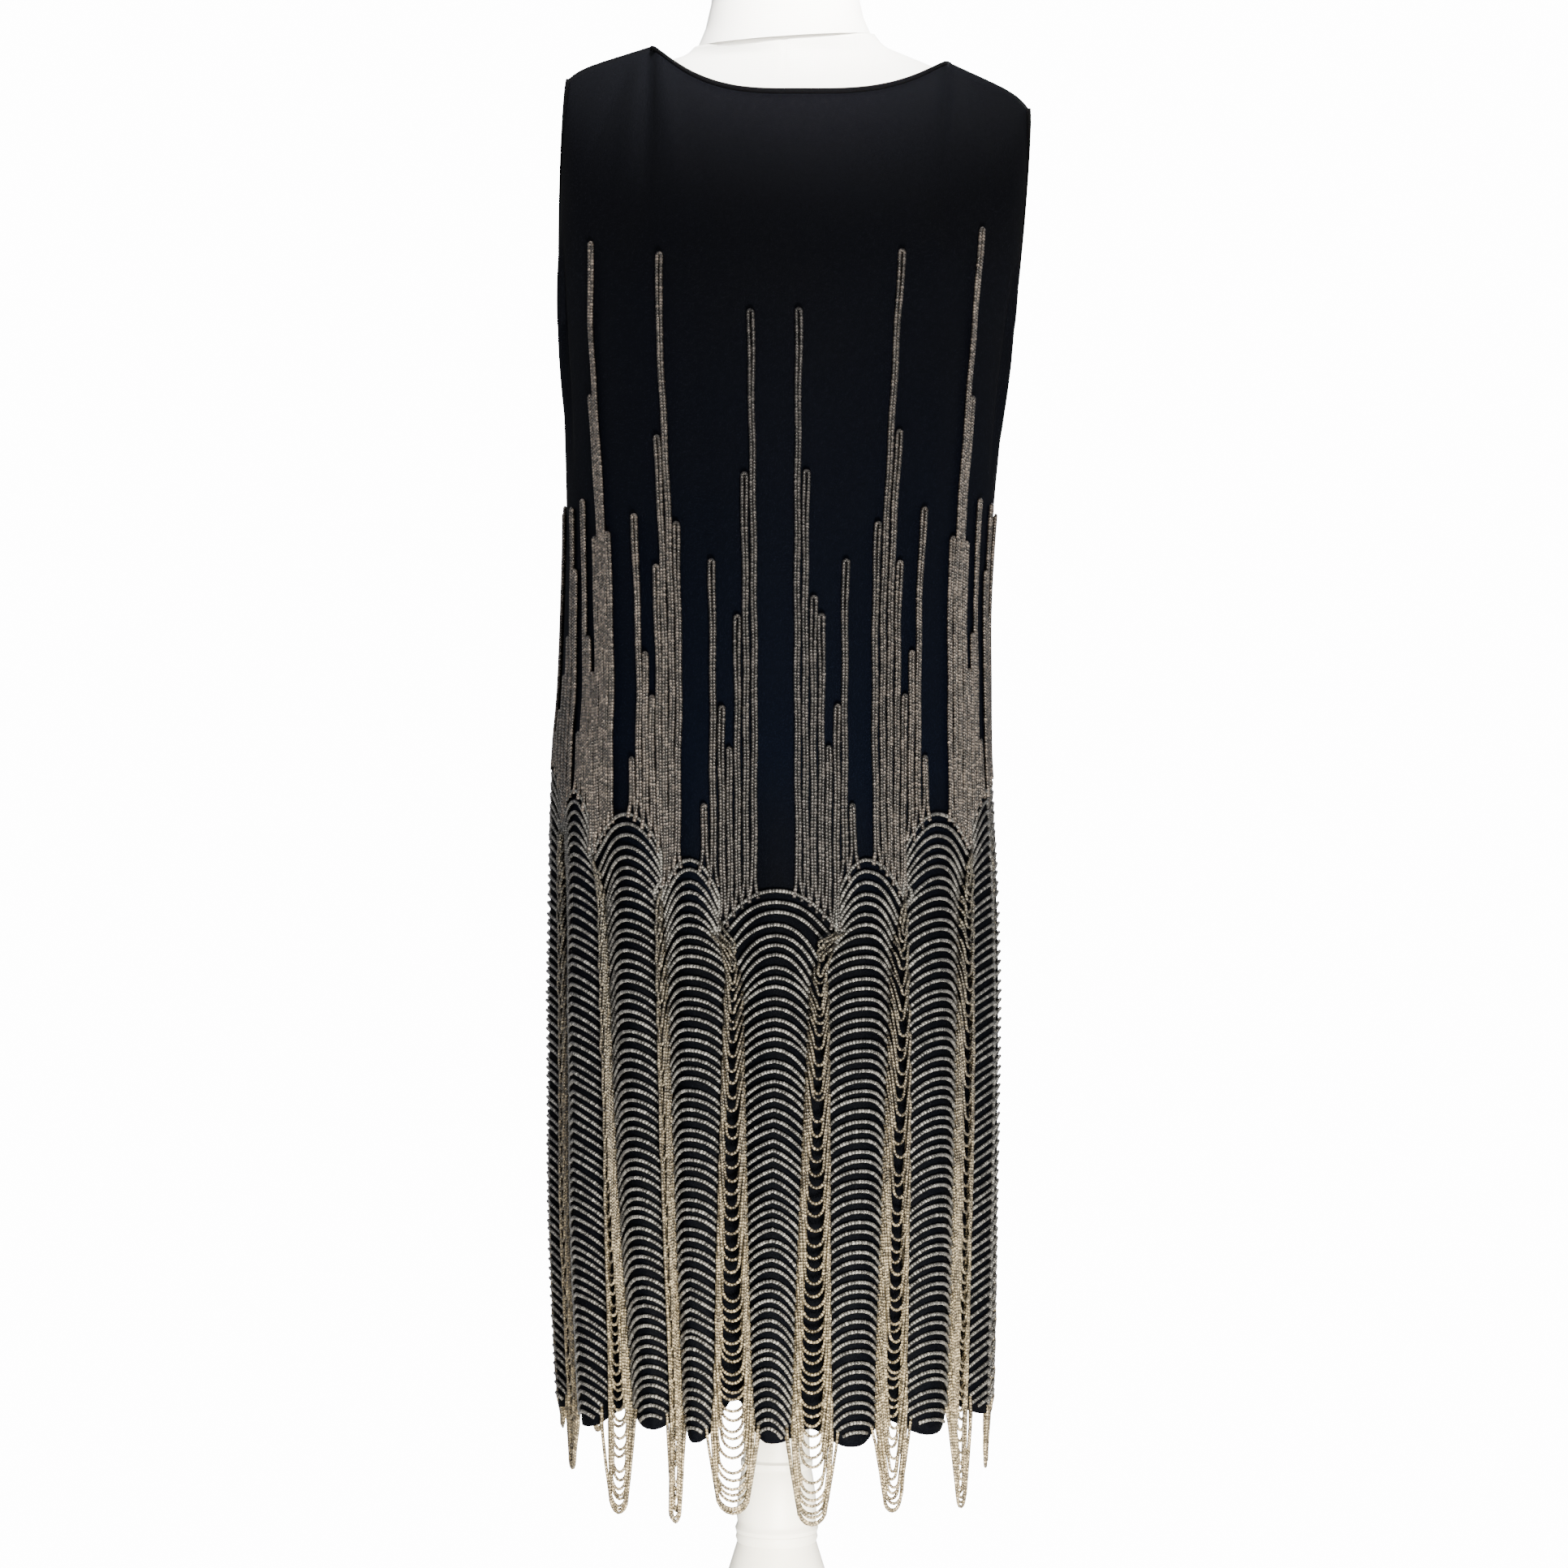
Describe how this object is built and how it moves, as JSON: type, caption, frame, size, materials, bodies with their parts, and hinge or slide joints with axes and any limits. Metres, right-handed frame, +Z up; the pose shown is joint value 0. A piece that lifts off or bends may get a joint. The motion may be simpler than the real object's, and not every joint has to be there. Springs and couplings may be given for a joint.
{
  "type": "beaded flapper dress on a limbless dress form",
  "caption": "Sleeveless straight beaded dress with upright bead columns, arched bead rows and looped bead fringe, worn by a limbless dress form on a turned stand.",
  "frame": {"origin": "on the floor, under the middle of the piece's bounding box", "axes": "+Z up, the wearer's front faces -Y, +X to the right seen from the front"},
  "size_m": [0.3736, 0.34, 1.4759],
  "materials": {
    "black_crepe": "fine matt silk crepe with a faint sheen",
    "black_binding": "narrow turned bias binding of the same crepe",
    "silver_beads": "silver-lined glass seed beads, greyed silver to pale gold, sparkling",
    "form_cover": "smooth white cotton jersey stretched over the form",
    "white_paint": "turned wood in satin off-white paint"
  },
  "bodies": {
    "root": {"front_panel": "black_crepe", "back_panel": "black_crepe", "neck_binding_front": "black_binding", "neck_binding_back": "black_binding", "armhole_binding_left_front": "black_binding", "armhole_binding_left_back": "black_binding", "armhole_binding_right_front": "black_binding", "armhole_binding_right_back": "black_binding", "front_bead_columns_left_1": "silver_beads", "front_bead_columns_left_2": "silver_beads", "front_bead_columns_left_3": "silver_beads", "front_bead_columns_left_4": "silver_beads", "front_bead_columns_left_side": "silver_beads", "front_bead_columns_right_1": "silver_beads", "front_bead_columns_right_2": "silver_beads", "front_bead_columns_right_3": "silver_beads", "front_bead_columns_right_4": "silver_beads", "front_bead_columns_right_side": "silver_beads", "back_bead_columns_left_1": "silver_beads", "back_bead_columns_left_2": "silver_beads", "back_bead_columns_left_3": "silver_beads", "back_bead_columns_left_4": "silver_beads", "back_bead_columns_left_side": "silver_beads", "back_bead_columns_right_1": "silver_beads", "back_bead_columns_right_2": "silver_beads", "back_bead_columns_right_3": "silver_beads", "back_bead_columns_right_4": "silver_beads", "back_bead_columns_right_side": "silver_beads", "front_bead_rows": "silver_beads", "back_bead_rows": "silver_beads", "front_swag_1": "silver_beads", "front_swag_2": "silver_beads", "front_swag_3": "silver_beads", "front_swag_4": "silver_beads", "front_swag_5": "silver_beads", "front_swag_6": "silver_beads", "front_swag_7": "silver_beads", "front_swag_8": "silver_beads", "back_swag_1": "silver_beads", "back_swag_2": "silver_beads", "back_swag_3": "silver_beads", "back_swag_4": "silver_beads", "back_swag_5": "silver_beads", "back_swag_6": "silver_beads", "back_swag_7": "silver_beads", "back_swag_8": "silver_beads", "side_swag_left": "silver_beads", "side_swag_right": "silver_beads", "form_torso": "form_cover", "form_neck": "form_cover", "form_neck_cap": "white_paint", "stand_post": "white_paint", "stand_foot": "white_paint"}
  },
  "joints": []
}
